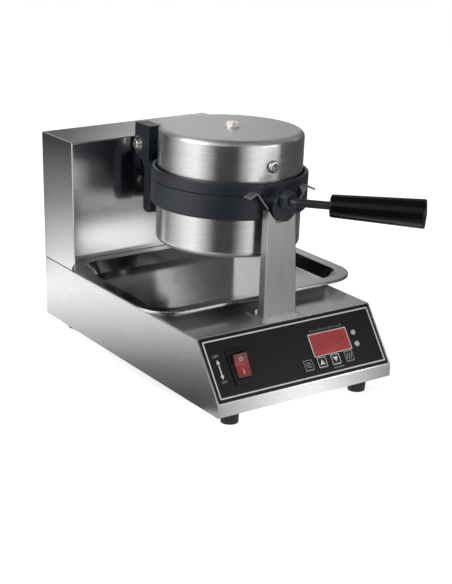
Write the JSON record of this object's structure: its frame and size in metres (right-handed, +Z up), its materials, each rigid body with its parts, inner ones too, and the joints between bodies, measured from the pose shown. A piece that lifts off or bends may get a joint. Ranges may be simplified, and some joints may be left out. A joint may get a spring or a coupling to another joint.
{
  "type": "rotating bubble waffle maker",
  "caption": "Countertop bubble waffle maker with a round head that turns over on a front cradle and rear shaft, hinged lid, crank handle, drip tray and sloped control panel.",
  "frame": {"origin": "centre of the bounding box in plan, on the table that the rubber feet stand on", "axes": "+X right as seen from the front, +Y towards the rear column, +Z up; the control panel faces -Y"},
  "size_m": [0.305, 0.52, 0.3149],
  "materials": {
    "stainless": "fine brushed",
    "cover_steel": "brushed round the cup",
    "tray_steel": "smooth bright",
    "dark_casting": "satin dark slate coating",
    "fasteners": "bright",
    "shaft_steel": "ground",
    "cast_bearing": "as cast",
    "bronze": "sintered bronze",
    "plate_coating": "dark non-stick coating",
    "heater": "cast-in heater",
    "insulation": "ceramic fibre",
    "rod_black": "satin black",
    "grip_black": "glossy black",
    "overlay_black": "satin membrane",
    "rocker_black": "satin black",
    "rocker_red": "translucent red",
    "display_red": "red filter",
    "module_black": "dark",
    "board_green": "circuit board",
    "lamp_red": "clear red",
    "key_black": "satin",
    "relay_grey": "moulded",
    "terminal_white": "moulded",
    "gland_black": "nylon",
    "feet_rubber": "matt"
  },
  "bodies": {
    "base": {"base_housing": "stainless", "front_panel": "stainless", "bottom_plate": "stainless", "bottom_plate_screws": "fasteners", "rubber_feet": "feet_rubber", "foot_screws": "fasteners", "column_shell": "stainless", "column_back_cover": "stainless", "back_cover_screws": "fasteners", "column_screws": "fasteners", "bearing_housing": "cast_bearing", "bearing_studs": "fasteners", "bearing_bush": "bronze", "front_post": "stainless", "post_screws": "fasteners", "cradle": "stainless", "control_overlay": "overlay_black", "display_window": "display_red", "display_module": "module_black", "control_board": "board_green", "board_standoffs": "fasteners", "indicator_lamps": "lamp_red", "rocker_frame": "rocker_black", "power_relay": "relay_grey", "terminal_block": "terminal_white", "cable_gland": "gland_black"},
    "tray": {"drip_tray": "tray_steel"},
    "lower_head": {"lower_ring": "dark_casting", "rear_yoke": "dark_casting", "yoke_bolts": "fasteners", "trunnion_shaft": "shaft_steel", "retaining_collar": "shaft_steel", "stop_pin": "fasteners", "hinge_pin": "fasteners", "hinge_washers": "fasteners", "hinge_nut": "fasteners", "lower_plate": "plate_coating", "lower_element": "heater", "lower_insulation": "insulation", "lower_cover": "cover_steel", "lower_cover_stud": "fasteners", "lower_cover_nut": "fasteners"},
    "lid": {"lid_casting": "dark_casting", "lid_arm": "dark_casting", "arm_bolts": "fasteners", "hinge_bush": "bronze", "upper_plate": "plate_coating", "upper_element": "heater", "upper_insulation": "insulation", "upper_cover": "cover_steel", "upper_cover_stud": "fasteners", "upper_cover_nut": "fasteners", "cover_screws": "fasteners", "handle_rod": "rod_black", "handle_grip": "grip_black"},
    "rocker": {"rocker_key": "rocker_red"},
    "key_set_body": {"key_set": "key_black"},
    "key_up_body": {"key_up": "key_black"},
    "key_down_body": {"key_down": "key_black"},
    "key_heat_body": {"key_heat": "key_black"}
  },
  "joints": [
    {"name": "head_turn", "type": "hinge", "parent": "base", "child": "lower_head", "pos_m": [-0.0055, 0.17805, 0.236], "axis": [0, 1, 0], "range_deg": [-184, 0]},
    {"name": "lid_open", "type": "hinge", "parent": "lower_head", "child": "lid", "pos_m": [-0.00465, 0.14655, 0.26028], "axis": [-0.9994, 0, 0.0349], "range_deg": [0, 90]},
    {"name": "tray_slide", "type": "slide", "parent": "base", "child": "tray", "axis": [1, 0, 0], "range_m": [0, 0.15]},
    {"name": "power_rocker", "type": "hinge", "parent": "base", "child": "rocker", "pos_m": [-0.0855, -0.15644, 0.06648], "axis": [1, 0, 0], "range_deg": [-16, 0]},
    {"name": "key_set_press", "type": "slide", "parent": "base", "child": "key_set_body", "axis": [0, -0.8121, 0.5836], "range_m": [-0.0006, 0], "stiffness_N_per_m": 400},
    {"name": "key_up_press", "type": "slide", "parent": "base", "child": "key_up_body", "axis": [0, -0.8121, 0.5836], "range_m": [-0.0006, 0], "stiffness_N_per_m": 400},
    {"name": "key_down_press", "type": "slide", "parent": "base", "child": "key_down_body", "axis": [0, -0.8121, 0.5836], "range_m": [-0.0006, 0], "stiffness_N_per_m": 400},
    {"name": "key_heat_press", "type": "slide", "parent": "base", "child": "key_heat_body", "axis": [0, -0.8121, 0.5836], "range_m": [-0.0006, 0], "stiffness_N_per_m": 400}
  ]
}
